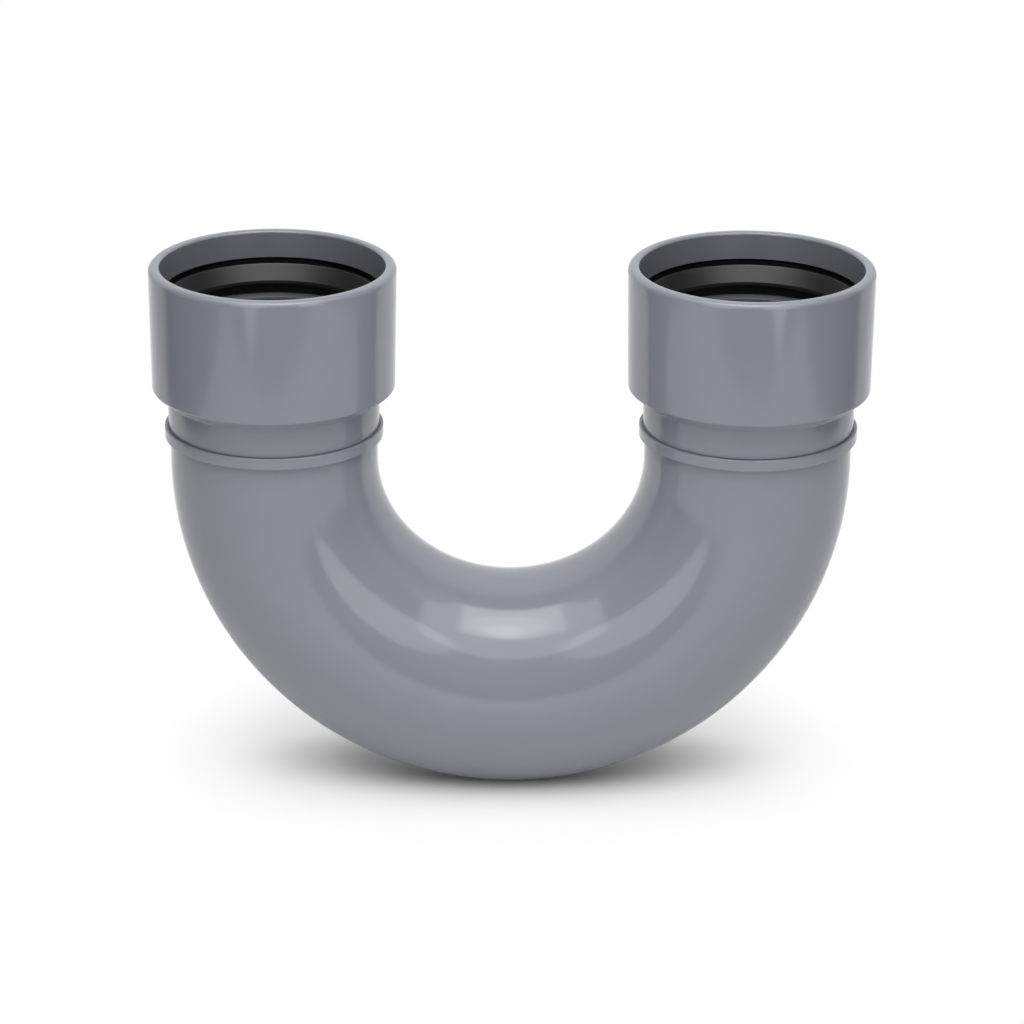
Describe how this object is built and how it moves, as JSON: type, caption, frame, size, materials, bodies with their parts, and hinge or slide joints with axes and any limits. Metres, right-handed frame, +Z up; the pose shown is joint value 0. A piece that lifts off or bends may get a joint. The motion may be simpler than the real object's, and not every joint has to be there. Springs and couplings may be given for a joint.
{
  "type": "u-trap",
  "caption": "Drain U-trap: a 180 degree bend with an upright ring-seal pipe socket and rubber lip seal on each leg.",
  "frame": {"origin": "lowest point of the bend, under the middle between the two legs", "axes": "+X from the left leg to the right leg, +Y from front to back, +Z up along the sockets' axes, out of their mouths"},
  "size_m": [0.3826, 0.1306, 0.2904],
  "materials": {
    "pvc": "smooth moulded grey PVC-U with a satin gloss",
    "rubber": "moulded black rubber, semi-matt"
  },
  "bodies": {
    "root": {"u_bend": "pvc", "left_socket": "pvc", "right_socket": "pvc", "left_seal": "rubber", "right_seal": "rubber"}
  },
  "joints": []
}
